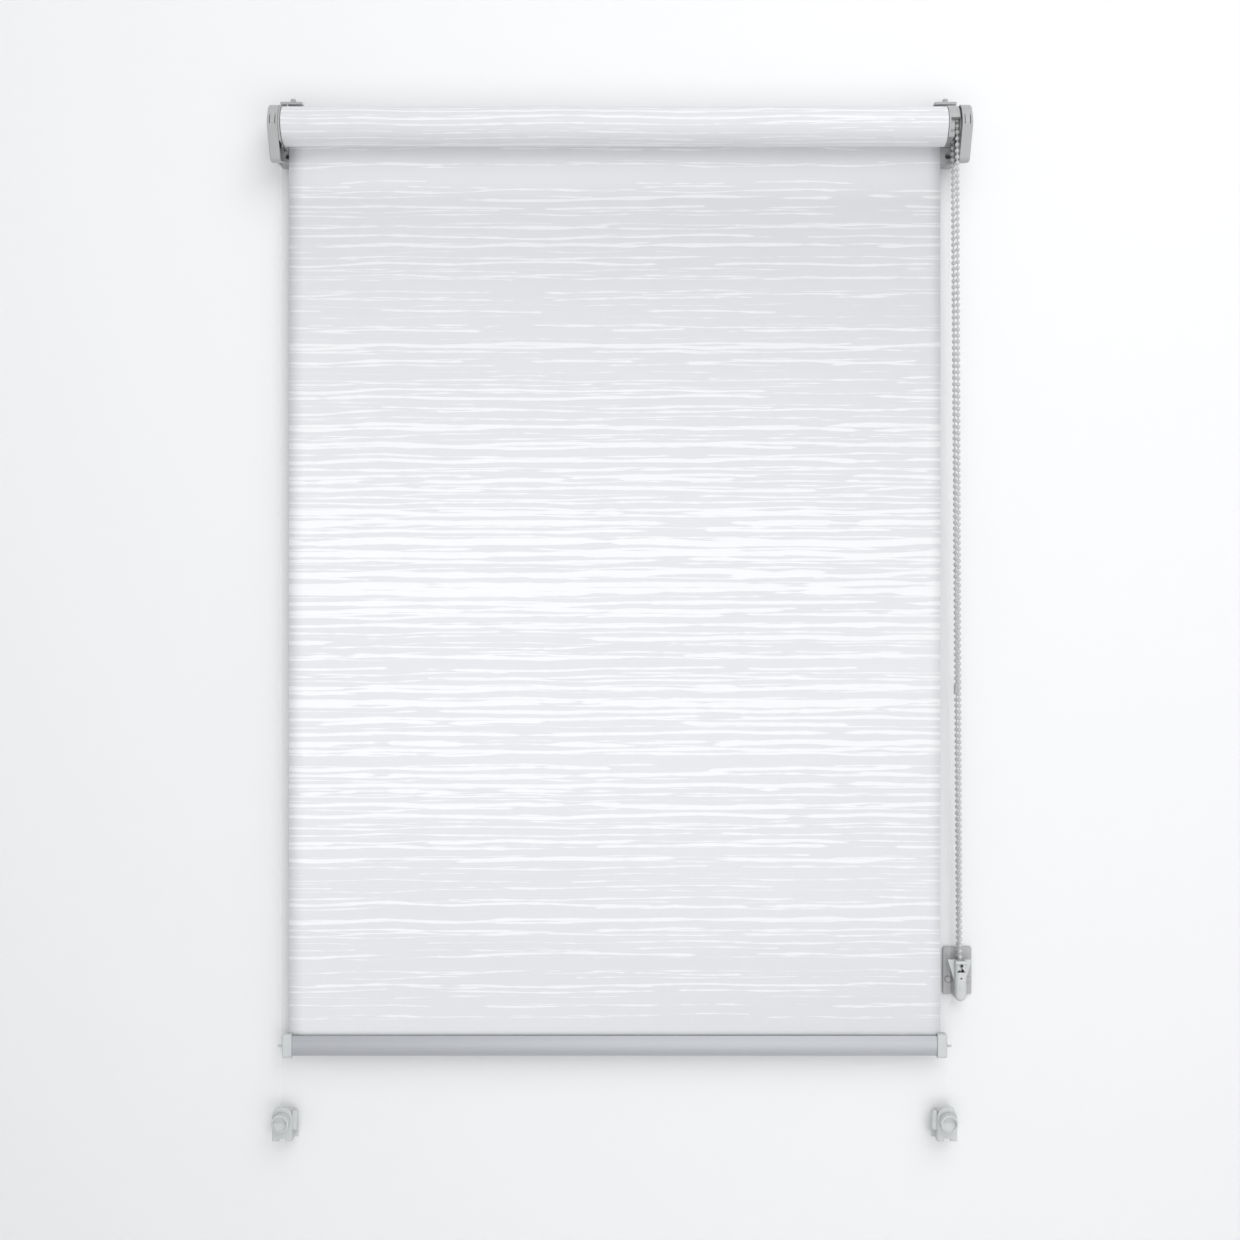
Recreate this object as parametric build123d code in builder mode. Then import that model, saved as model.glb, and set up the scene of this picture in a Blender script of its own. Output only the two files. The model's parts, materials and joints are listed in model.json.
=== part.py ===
from build123d import *
import math
import os

# Chain-operated roller blind, all sizes in millimetres.
# +X right along the roller, +Y into the wall, +Z up.  The wall is the plane Y = 0.
# Origin: the centre of the four wall screw holes, level with the roller's axis.

# Fabric and roller
fabric_width = 651.2
fabric_middle = -3.35
fabric_thickness = 0.3
axis_y = -38.0
roll_r = 19.4
tube_r = 12.5
tube_wall = 1.0
fabric_y = axis_y + roll_r + 0.5
fabric_left = fabric_middle - fabric_width / 2
fabric_right = fabric_middle + fabric_width / 2
roller_axis = Axis((0, axis_y, 0), (1, 0, 0))

# Brackets
screw_x = 331.0
screw_z = 21.9
screw_r = 2.1
head_recess_r = 4.0
block_depth = 17.0
block_low = -29.5
block_high = -13.9
flange_low = 28.7
flange_high = 31.1
flange_depth = 20.0
wall_plate = 2.5
plug_y = -10.0
plug_high = 37.1
left_plug_x = -326.4
right_plug_x = 329.0

# Side covers
cover_middle = 2.0
cover_outer = 343.4
cover_inner = 333.2
cover_skin = 1.6

# Chain drive
chain_d = 4.5
chain_pitch = 6.0
wheel_pockets = 10
wheel_pitch_r = wheel_pockets * chain_pitch / (2 * math.pi)
groove_half = chain_d / 2 + 0.4
chain_x = 332.3
housing_in = 323.3
housing_out = 334.9
side_plate_in = 336.0
core_r = 4.0
running = 0.05

# Bottom bar
bar_half = 322.1
bar_high = -901.4
bar_low = -921.4
bar_thick = 9.0
bar_crown_r = 34.1
cap_length = 9.7
cap_tall = 24.0
cap_thick = 12.4
line_off = 334.35
line_r = 0.5

# Chain tensioner
tensioner_x = 342.8
plate_wide = 28.7
plate_high = -816.9
plate_low = -864.4
plate_thick = 3.0
pulley_y = -11.5
pulley_z = -857.0
pulley_pitch_r = 4.2
carriage_back = -3.4

# Guide line holders
holder_off = 331.55
holder_wide = 19.9
holder_high = -972.2
holder_low = -1006.1
holder_deep = 24.0
knob_r = 8.6
knob_z = -985.4

os.makedirs("parts", exist_ok=True)


def save(piece, name):
    """Label a finished piece and write its STEP file."""
    piece.part.label = name
    export_step(piece.part, f"parts/{name}.step")


def turned(outline, centre=(0, axis_y, 0)):
    """A body turned about an X axis through centre, from its outline of (x, radius) points."""
    with BuildPart() as body:
        with BuildSketch(Plane(origin=centre)):
            with BuildLine():
                Polyline(*outline, close=True)
            make_face()
        revolve(axis=Axis(centre, (1, 0, 0)))
    return body


def grooved(x, half, bore_r, outer_r, pitch_r, centre=(0, axis_y, 0)):
    """A wheel turned about an X axis, with a round-bottomed groove for the chain."""
    with BuildPart() as wheel:
        with BuildSketch(Plane(origin=centre)):
            with BuildLine():
                left_lip = (x - groove_half, outer_r)
                right_lip = (x + groove_half, outer_r)
                left_root = (x - groove_half, pitch_r)
                right_root = (x + groove_half, pitch_r)
                Polyline(
                    left_root,
                    left_lip,
                    (x - half, outer_r),
                    (x - half, bore_r),
                    (x + half, bore_r),
                    (x + half, outer_r),
                    right_lip,
                    right_root,
                )
                ThreePointArc(right_root, (x, pitch_r - groove_half), left_root)
            make_face()
        revolve(axis=Axis(centre, (1, 0, 0)))
    return wheel


def span(x0, x1, y0, y1, z0, z1):
    """A block between two corners, for use outside a builder block or with add()."""
    size = (abs(x1 - x0), abs(y1 - y0), abs(z1 - z0))
    middle = ((x0 + x1) / 2, (y0 + y1) / 2, (z0 + z1) / 2)
    return Pos(*middle) * Solid.make_box(*size, Plane(origin=(-size[0] / 2, -size[1] / 2, -size[2] / 2)))


def cover_side(inset, back):
    """The side view (Y, Z) of a cover or side plate: flat top, round nose and a chin that rises to the wall."""
    with BuildSketch() as side:
        with BuildLine():
            rim = FilletPolyline((-3, 19), (-53, 19), (-61, -2), (-45, -37.5), (-3, -25.4), radius=(14, 10, 6))
            Line(rim @ 1, rim @ 0)
        make_face()
        if inset:
            offset(amount=-inset)
        with Locations(((back - 8) / 2, -3.25)):
            Rectangle(abs(back + 8), 44.5 - 2 * inset)
    return side.sketch


# ---- Brackets -----------------------------------------------------------------------------------
# Wall plate, screw block under the roller, flange above it, and the side plate that carries the end.

left_plate_out = -331.0
left_plate_in = -329.5
pin_r = 3.0

with BuildPart() as left_bracket:
    add(span(-338.4, -322.0, 0, -wall_plate, block_low, flange_high))
    add(span(-337.2, -315.8, 0, -flange_depth, flange_low, flange_high))
    add(span(-339.4, -323.0, 0, -block_depth, block_low, block_high))
    with BuildSketch(Plane.YZ.offset(left_plate_out)):
        add(cover_side(1.2, 0))
    extrude(amount=left_plate_in - left_plate_out)
    # the side plate stops above the screw block, so a screwdriver reaches the hole
    add(span(left_plate_out - 1, left_plate_in + 1, -block_depth, -62, -45, -19), mode=Mode.SUBTRACT)
    add(span(left_plate_out, left_plate_in, 0, -flange_depth, 10, flange_low))
    with Locations(Plane((-screw_x, -block_depth, -screw_z), z_dir=(0, -1, 0))):
        CounterSinkHole(screw_r, head_recess_r, counter_sink_angle=70)
    with Locations(Plane((-screw_x, -flange_depth, screw_z), z_dir=(0, -1, 0))):
        Hole(screw_r)
    with Locations(Plane((left_plate_out, axis_y, 0), z_dir=(-1, 0, 0))):
        Hole(pin_r + running)
    with Locations(Plane((-333.2, -block_depth, block_high - 2.4), z_dir=(0, -1, 0))):
        Hole(0.9, depth=6)
    with Locations((left_plug_x, plug_y, flange_high)):
        Hole(2.0, depth=4)
    with Locations(Plane((fabric_middle - line_off, fabric_y + 2.6, block_low), z_dir=(0, 0, -1))):
        Hole(1.4, depth=6)
save(left_bracket, "left_bracket")

with BuildPart() as right_bracket:
    add(span(320.0, 338.0, 0, -wall_plate, block_low, flange_high))
    add(span(316.8, 338.2, 0, -flange_depth, flange_low, flange_high))
    with BuildSketch(Plane.XZ):
        with BuildLine():
            Polyline((319, block_high), (339.7, block_high), (339.7, block_low + 5))
            RadiusArc((339.7, block_low + 5), (334.7, block_low), 5)
            Polyline((334.7, block_low), (319, block_low), (319, block_high))
        make_face()
    extrude(amount=block_depth)
    with BuildSketch(Plane.YZ.offset(side_plate_in)):
        add(cover_side(2.4, 0))
    extrude(amount=2)
    add(span(side_plate_in, side_plate_in + 2, 0, -wall_plate, 10, flange_low))
    with Locations(Plane((screw_x, -block_depth, -screw_z), z_dir=(0, -1, 0))):
        CounterSinkHole(screw_r, head_recess_r, counter_sink_angle=70)
    with Locations(Plane((screw_x, -flange_depth, screw_z), z_dir=(0, -1, 0))):
        Hole(screw_r)
    with Locations(Plane((side_plate_in, axis_y, 0), z_dir=(-1, 0, 0))):
        Hole(core_r + running)
    with Locations((right_plug_x, plug_y, flange_high)):
        Hole(2.0, depth=4)
    with Locations(Plane((fabric_middle + line_off, fabric_y + 2.6, block_low), z_dir=(0, 0, -1))):
        Hole(1.4, depth=6)
save(right_bracket, "right_bracket")

for plug_x, name in ((left_plug_x, "left_top_plug"), (right_plug_x, "right_top_plug")):
    with BuildPart() as top_plug:
        with BuildSketch(Plane.XY.offset(flange_low - 1)):
            with Locations((plug_x, plug_y)):
                Circle(1.95)
        extrude(amount=flange_high - flange_low + 1)
        with BuildSketch(Plane.XY.offset(flange_high)):
            with Locations((plug_x, plug_y)):
                Circle(2.65)
        extrude(amount=plug_high - flange_high)
        fillet(top_plug.edges().filter_by(GeomType.CIRCLE).sort_by(Axis.Z)[-1], 1.0)
    save(top_plug, name)

# ---- Side covers: hollow shells that push on over the brackets -------------------------------------

for side, name in ((-1, "left_cover"), (1, "right_cover")):
    inner_face = cover_middle + side * cover_inner
    outer_face = cover_middle + side * cover_outer
    with BuildPart() as cover:
        with BuildSketch(Plane.YZ.offset(inner_face)):
            add(cover_side(0, -3))
        extrude(amount=outer_face - inner_face)
        rounded = cover.faces().sort_by(Axis.X)[0 if side < 0 else -1].edges()
        fillet(rounded.filter_by(lambda edge: edge.center().Y < -3.5), 1.4)
        with BuildSketch(Plane.YZ.offset(inner_face)):
            add(cover_side(cover_skin, 0))
        extrude(amount=side * (cover_outer - cover_inner - cover_skin), mode=Mode.SUBTRACT)
        for slot in (2.1, 7.4):
            x = inner_face + side * slot
            add(span(x - 0.4, x + 0.4, -57, -62, -4, 6), mode=Mode.SUBTRACT)
        # open behind, where the bracket's screw block and the guide line's anchor stand
        add(span(-345, 350, 0, -block_depth - 0.4, -45, block_high + 0.4), mode=Mode.SUBTRACT)
        if side < 0:
            x = fabric_middle - line_off
            add(span(x - 1.9, inner_face, fabric_y - 2, fabric_y + 2, -45, block_low + 1.5), mode=Mode.SUBTRACT)
    save(cover, name)

# ---- Roller: tube, roll of fabric and the plugs at its ends ----------------------------------------

tube_left = fabric_left + 0.6
tube_right = fabric_right - 0.6
strip_wide = 8.0

roller_tube = turned(
    [
        (tube_left, tube_r - tube_wall),
        (tube_right, tube_r - tube_wall),
        (tube_right, tube_r),
        (tube_left, tube_r),
    ]
)
with BuildPart() as grooved_tube:
    add(roller_tube.part)
    rib_top = axis_y - tube_r + tube_wall
    add(span(tube_left + 26, tube_right - 34, rib_top - 0.5, rib_top + 1.6, -1.2, 1.2))
save(grooved_tube, "roller_tube")

adhesive = 0.4
with BuildPart() as adhesive_strip:
    reach = strip_wide / 2
    add(span(tube_left + 4, tube_right - 4, axis_y - reach, axis_y + reach, tube_r, tube_r + adhesive))
save(adhesive_strip, "adhesive_strip")

with BuildPart() as fabric_roll:
    with BuildSketch(Plane.YZ.offset(fabric_left)):
        with Locations((axis_y, 0)):
            Circle(roll_r)
            Circle(tube_r, mode=Mode.SUBTRACT)
    extrude(amount=fabric_width)
    reach = strip_wide / 2 + 0.1
    add(
        span(fabric_left - 1, fabric_right + 1, axis_y - reach, axis_y + reach, tube_r - 1, tube_r + adhesive),
        mode=Mode.SUBTRACT,
    )
save(fabric_roll, "fabric_roll")

plug_left = fabric_left
idle_plug = turned(
    [
        (plug_left, pin_r + running),
        (plug_left + 21, pin_r + running),
        (plug_left + 21, 0),
        (plug_left + 23, 0),
        (plug_left + 23, tube_r - tube_wall),
        (plug_left + 0.6, tube_r - tube_wall),
        (plug_left + 0.6, tube_r),
        (plug_left, tube_r),
    ]
)
save(idle_plug, "idle_plug")

pin_tip = -334.6
pin_tail = plug_left + 12
idle_pin = turned(
    [(pin_tip, 0), (pin_tip, 2.2), (pin_tip + 0.8, pin_r), (pin_tail, pin_r), (pin_tail, 0)]
)
save(idle_pin, "idle_pin")

spring_wire = 0.7
spring_start = pin_tail + spring_wire / 2
spring_turns = 5
spring_pitch = (9 - spring_wire) / spring_turns
with BuildPart() as idle_spring:
    with BuildLine() as coil:
        Helix(
            spring_pitch,
            spring_pitch * spring_turns,
            2.1,
            center=(spring_start, axis_y, 0),
            direction=(1, 0, 0),
        )
    with BuildSketch(Plane(origin=coil.line @ 0, z_dir=coil.line % 0)):
        Circle(spring_wire / 2)
    sweep(is_frenet=True)
save(idle_spring, "idle_spring")

# ---- Clutch: fixed core, brake spring, drive plug and pocketed chain wheel -------------------------

core_tip = 296.0
clutch_core = turned(
    [
        (core_tip, 0),
        (core_tip, core_r - 1),
        (core_tip + 1, core_r),
        (side_plate_in + 2, core_r),
        (side_plate_in + 2, 7),
        (side_plate_in + 3.4, 7),
        (side_plate_in + 3.4, 0),
    ]
)
save(clutch_core, "clutch_core")

# The brake spring is close-wound, so its coils are rings that touch.
wrap_wire = 1.2
wrap_turns = 13
wrap_start = 299.0
with BuildPart() as brake_spring:
    with BuildSketch(Plane(origin=(wrap_start, axis_y, 0))):
        with Locations(*[(turn * wrap_wire * 0.92, core_r + 0.1 + wrap_wire / 2) for turn in range(wrap_turns)]):
            Circle(wrap_wire / 2)
    revolve(axis=roller_axis)
save(brake_spring, "brake_spring")

neck_r = 7.0
plug_mouth = 316.0
drive_plug = turned(
    [
        (294.0, core_r + 0.6),
        (298.0, core_r + 0.6),
        (298.0, neck_r),
        (fabric_right + 0.6, neck_r),
        (fabric_right + 0.6, tube_r),
        (tube_right, tube_r),
        (tube_right, tube_r - tube_wall),
        (294.0, tube_r - tube_wall),
    ]
)
save(drive_plug, "drive_plug")

wheel_half = 3.3
wheel_r = 11.6
drum_left = 325.4
pocket_r = 2.3
pocket_floor = wheel_pitch_r - groove_half - 0.4
with BuildPart() as chain_wheel:
    add(grooved(chain_x, wheel_half, core_r + running, wheel_r, wheel_pitch_r).part)
    neck_end = chain_x - wheel_half
    neck = [
        (plug_mouth, core_r + running),
        (neck_end, core_r + running),
        (neck_end, wheel_r),
        (drum_left, wheel_r),
        (drum_left, neck_r),
        (plug_mouth, neck_r),
    ]
    add(turned(neck).part)
    with Locations(Plane((chain_x, axis_y, 0), z_dir=(1, 0, 0))):
        with PolarLocations(pocket_floor + 1.5, wheel_pockets):
            Cylinder(pocket_r, 3, rotation=(0, 90, 0), mode=Mode.SUBTRACT)
save(chain_wheel, "chain_wheel")

with BuildPart() as chain_housing:
    with BuildSketch(Plane.YZ.offset(housing_in)):
        with BuildLine():
            roof = Line((-wall_plate - 0.1, 20.5), (-36, 20.5))
            brow = TangentArc(roof @ 1, (-55, 0), tangent=roof % 1)
            jaw = TangentArc(brow @ 1, (-50, -13.6), tangent=brow % 1)
            floor = Line(jaw @ 1, (-wall_plate - 0.1, -13.6))
            Line(floor @ 1, roof @ 0)
        make_face()
    extrude(amount=housing_out - housing_in)
    fillet(chain_housing.faces().sort_by(Axis.X)[-1].edges().filter_by(GeomType.CIRCLE), 2.0)
    with BuildSketch(Plane.YZ.offset(drum_left - 0.4)):
        with Locations((axis_y, 0)):
            Circle(wheel_r + 0.8)
    extrude(amount=12, mode=Mode.SUBTRACT)
    with BuildSketch(Plane.YZ.offset(housing_in)):
        with Locations((axis_y, 0)):
            Circle(neck_r + 0.8)
    extrude(amount=10, mode=Mode.SUBTRACT)
    strand = wheel_pitch_r + chain_d / 2 + 1
    add(span(chain_x - 3.1, 340, axis_y - strand, axis_y + strand, -30, 0), mode=Mode.SUBTRACT)
    front_slot = axis_y - wheel_pitch_r
    add(span(drum_left - 0.4, housing_out, front_slot + 3, -70, -9.5, 4), mode=Mode.SUBTRACT)
    add(span(chain_x - 3.1, housing_out, front_slot + 3, -70, -30, -9), mode=Mode.SUBTRACT)
save(chain_housing, "chain_housing")

# ---- Fabric and bottom bar -------------------------------------------------------------------------

with BuildPart() as hanging_fabric:
    half = fabric_thickness / 2
    add(span(fabric_left, fabric_right, fabric_y - half, fabric_y + half, -0.5, bar_high - 2.4))
save(hanging_fabric, "hanging_fabric")

bar_middle = (bar_high + bar_low) / 2
insert_z = bar_high - 5.4
bar_inside = Plane.YZ.offset(fabric_middle - bar_half)
with BuildPart() as bottom_bar:
    with BuildSketch(bar_inside):
        with Locations((fabric_y, bar_middle)):
            RectangleRounded(bar_thick, bar_high - bar_low, 2.4)
        # both faces are slightly crowned
        with Locations((fabric_y + bar_crown_r - bar_thick / 2, bar_middle)):
            Circle(bar_crown_r, mode=Mode.INTERSECT)
        with Locations((fabric_y - bar_crown_r + bar_thick / 2, bar_middle)):
            Circle(bar_crown_r, mode=Mode.INTERSECT)
        with Locations((fabric_y, bar_low + 6.1)):
            Rectangle(5.0, 9.2, mode=Mode.SUBTRACT)
        with Locations((fabric_y, insert_z)):
            Circle(2.7, mode=Mode.SUBTRACT)
        with Locations((fabric_y, bar_high)):
            Rectangle(1.6, 7, mode=Mode.SUBTRACT)
    extrude(amount=2 * bar_half)
save(bottom_bar, "bottom_bar")

with BuildPart() as insert_strip:
    with BuildSketch(bar_inside):
        with Locations((fabric_y, insert_z)):
            Circle(2.3)
    extrude(amount=2 * bar_half)
save(insert_strip, "insert_strip")

hook_z = -912.2
hook_thick = 1.6
for side, name in ((-1, "left"), (1, "right")):
    end_x = fabric_middle + side * bar_half
    cap_x = end_x + side * cap_length
    hook_x = fabric_middle + side * line_off
    with BuildPart() as bar_cap:
        with BuildSketch(Plane.YZ.offset(end_x)):
            with Locations((fabric_y, bar_middle)):
                RectangleRounded(cap_thick, cap_tall, 3.0)
        extrude(amount=side * cap_length)
        rim = bar_cap.faces().sort_by(Axis.X)[0 if side < 0 else -1].edges()
        fillet(rim, 2.2)
        add(span(end_x, end_x - side * 10, fabric_y - 2.3, fabric_y + 2.3, bar_low + 1.8, bar_low + 10.4))
        socket_x = cap_x - side * 4
        socket = span(socket_x, cap_x + side, fabric_y - 1.4, fabric_y + 1.4, hook_z - 0.85, hook_z + 0.85)
        add(socket, mode=Mode.SUBTRACT)
        slit = span(end_x - side, end_x + side * 4.4, fabric_y - 0.8, fabric_y + 0.8, bar_high - 3.5, -890)
        add(slit, mode=Mode.SUBTRACT)
    save(bar_cap, f"{name}_bar_cap")

    with BuildPart() as line_hook:
        with BuildSketch(Plane.XY.offset(hook_z - hook_thick / 2)):
            with Locations((hook_x, fabric_y)):
                Circle(2.5)
            stem_x = hook_x - side * 2.4
            with Locations(((stem_x + socket_x) / 2, fabric_y)):
                Rectangle(abs(stem_x - socket_x), 2.6)
            with Locations((hook_x, fabric_y)):
                Circle(1.3, mode=Mode.SUBTRACT)
            with Locations((hook_x + side * 0.6, fabric_y + 2)):
                Rectangle(1.4, 2.6, mode=Mode.SUBTRACT)
        extrude(amount=hook_thick)
    save(line_hook, f"{name}_line_hook")

# ---- Guide lines: clear nylon from the brackets to the holders -------------------------------------

anchor_thick = 1.6
line_high = block_low - anchor_thick
line_low = holder_high - 11.0
for side, name in ((-1, "left"), (1, "right")):
    line_x = fabric_middle + side * line_off
    with BuildPart() as guide_line:
        with BuildSketch(Plane.XY.offset(line_low)):
            with Locations((line_x, fabric_y)):
                Circle(line_r)
        extrude(amount=line_high - line_low)
    save(guide_line, f"{name}_guide_line")

    # The anchor is a small clip that pegs up into the block and reaches out over the line.
    with BuildPart() as line_anchor:
        with BuildSketch(Plane.XY.offset(block_low)):
            with Locations((line_x, fabric_y + 2.6)):
                Circle(1.35)
        extrude(amount=5)
        add(span(line_x - 1.4, line_x + 1.4, fabric_y - 1.4, fabric_y + 4, line_high, block_low))
        fillet(line_anchor.edges().filter_by(Axis.Z), 0.3)
    save(line_anchor, f"{name}_line_anchor")

# ---- Bead chain: the endless loop, as a plain tube of its outside size -----------------------------

connector_z = -556.0
connector_half = 5.0


def strand_point(side, z):
    """A point on the front (-1) or rear (1) strand at height z."""
    share = z / pulley_z
    x = chain_x + (tensioner_x - chain_x) * share
    centre = axis_y + (pulley_y - axis_y) * share
    reach = wheel_pitch_r + (pulley_pitch_r - wheel_pitch_r) * share
    return (x, centre + side * reach, z)


wheel_arc = wheel_pitch_r - 0.25
pulley_arc = pulley_pitch_r - 0.12
chain_route = [
    strand_point(1, connector_z + connector_half),
    (chain_x, axis_y + wheel_pitch_r, wheel_pitch_r),
    (chain_x, axis_y - wheel_pitch_r, wheel_pitch_r),
    (tensioner_x, pulley_y - pulley_pitch_r, pulley_z - pulley_pitch_r),
    (tensioner_x, pulley_y + pulley_pitch_r, pulley_z - pulley_pitch_r),
    strand_point(1, connector_z - connector_half),
]
chain_radii = [wheel_arc, wheel_arc, pulley_arc, pulley_arc]
with BuildPart() as bead_chain:
    with BuildLine() as loop:
        FilletPolyline(*chain_route, radius=chain_radii)
    with BuildSketch(Plane(origin=loop.line @ 0, z_dir=loop.line % 0)):
        Circle(chain_d / 2)
    sweep()
save(bead_chain, "bead_chain")
chain_length = loop.wire().length
print("chain length", round(chain_length, 1), "mm, arcs", [round(r, 2) for r in chain_radii])
section = math.pi * chain_d**2 / 4
print("chain volume over section times length", round(bead_chain.part.volume / (section * chain_length), 4))

top_end = Vector(*strand_point(1, connector_z + connector_half))
low_end = Vector(*strand_point(1, connector_z - connector_half))
with BuildPart() as chain_connector:
    with BuildSketch(Plane(origin=low_end, z_dir=top_end - low_end)):
        Circle(2.6)
    extrude(amount=(top_end - low_end).length)
    fillet(chain_connector.edges().filter_by(GeomType.CIRCLE), 0.8)
save(chain_connector, "chain_connector")

# ---- Chain tensioner: wall plate, V-shaped carriage, pulley and its axle ---------------------------

cap_off = 9.65
cap_z = -849.2
with BuildPart() as tensioner_plate:
    with BuildSketch(Plane.XZ):
        with Locations((tensioner_x, (plate_high + plate_low) / 2)):
            RectangleRounded(plate_wide, plate_high - plate_low, 1.2)
        with Locations((tensioner_x - cap_off, cap_z), (tensioner_x + cap_off, cap_z)):
            Circle(screw_r, mode=Mode.SUBTRACT)
    extrude(amount=plate_thick)
    fillet(tensioner_plate.faces().sort_by(Axis.Y)[0].edges().filter_by(GeomType.LINE), 0.5)
save(tensioner_plate, "tensioner_plate")

with BuildPart() as tensioner_caps:
    with BuildSketch(Plane.XZ.offset(1.6)):
        with Locations((tensioner_x - cap_off, cap_z), (tensioner_x + cap_off, cap_z)):
            Circle(screw_r - running)
    extrude(amount=plate_thick - 1.6)
    with BuildSketch(Plane.XZ.offset(plate_thick)):
        with Locations((tensioner_x - cap_off, cap_z), (tensioner_x + cap_off, cap_z)):
            Circle(3.4)
    extrude(amount=2.2)
    fillet(tensioner_caps.edges().filter_by(GeomType.CIRCLE).group_by(Axis.Y)[0], 1.7)
save(tensioner_caps, "tensioner_caps")

cheek_in = 3.6
cheek_out = 5.7
wing_top = -829.6
wing_foot = -848.0
nose_low = -868.0
with BuildPart() as tensioner_carriage:
    # stem with its round nose
    with BuildSketch(Plane.XZ.offset(-carriage_back)):
        with BuildLine():
            Polyline(
                (tensioner_x + cheek_out, nose_low + cheek_out),
                (tensioner_x + cheek_out, wing_top),
                (tensioner_x - cheek_out, wing_top),
                (tensioner_x - cheek_out, nose_low + cheek_out),
            )
            ThreePointArc(
                (tensioner_x - cheek_out, nose_low + cheek_out),
                (tensioner_x, nose_low),
                (tensioner_x + cheek_out, nose_low + cheek_out),
            )
        make_face()
    extrude(amount=17.6)
    # lower front edge of the nose is rounded back
    fillet(tensioner_carriage.faces().sort_by(Axis.Y)[0].edges().filter_by(GeomType.CIRCLE), 4.5)
    # V-shaped wings with a crossbar along their top, which comes forward round the chain
    with BuildSketch(Plane.XZ.offset(12.5)):
        with BuildLine():
            Polyline(
                (tensioner_x - 11.2, wing_top),
                (tensioner_x + 11.2, wing_top),
                (tensioner_x + cheek_out, wing_foot),
                (tensioner_x - cheek_out, wing_foot),
                close=True,
            )
        make_face()
    extrude(amount=1.8)
    add(span(tensioner_x - 11.8, tensioner_x + 11.8, -12.5, -14.7, wing_top, wing_top + 2.6))
    add(span(tensioner_x - cheek_out, tensioner_x + cheek_out, -12.5, -22.0, wing_top, wing_top + 2.6))
    # channel for the chain and the pulley, open at the top
    channel_left, channel_right = tensioner_x - cheek_in, tensioner_x + cheek_in
    add(span(channel_left, channel_right, carriage_back - 1.3, -19.4, -864.2, -820), mode=Mode.SUBTRACT)
    # keyhole in the front plate, a small window under it and a round boss below
    with BuildSketch(Plane.XZ.offset(19)):
        with Locations((tensioner_x, wing_top - 2.3)):
            Circle(2.0)
        with BuildLine():
            Polyline(
                (tensioner_x, wing_top - 3.2),
                (tensioner_x + 4.4, wing_top - 9.0),
                (tensioner_x - 4.4, wing_top - 9.0),
                close=True,
            )
        make_face()
    extrude(amount=4, mode=Mode.SUBTRACT)
    add(span(tensioner_x - 0.9, tensioner_x + 0.9, -19, -22, -845.2, -843.6), mode=Mode.SUBTRACT)
    with BuildSketch(Plane.XZ.offset(20.5)):
        with Locations((tensioner_x, -854.4)):
            Circle(2.0)
    extrude(amount=1.4)
    with Locations(Plane((tensioner_x + cheek_out, pulley_y, pulley_z), z_dir=(1, 0, 0))):
        Hole(1.0)
save(tensioner_carriage, "tensioner_carriage")

pulley_centre = (0, pulley_y, pulley_z)
pulley_axle = turned(
    [
        (tensioner_x - cheek_out, 0),
        (tensioner_x - cheek_out, 1.0),
        (tensioner_x + cheek_out, 1.0),
        (tensioner_x + cheek_out, 0),
    ],
    pulley_centre,
)
save(pulley_axle, "pulley_axle")

tensioner_pulley = grooved(tensioner_x, 3.3, 1.0 + running, 5.6, pulley_pitch_r, pulley_centre)
save(tensioner_pulley, "tensioner_pulley")

# ---- Guide line holders at the bottom --------------------------------------------------------------

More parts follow.
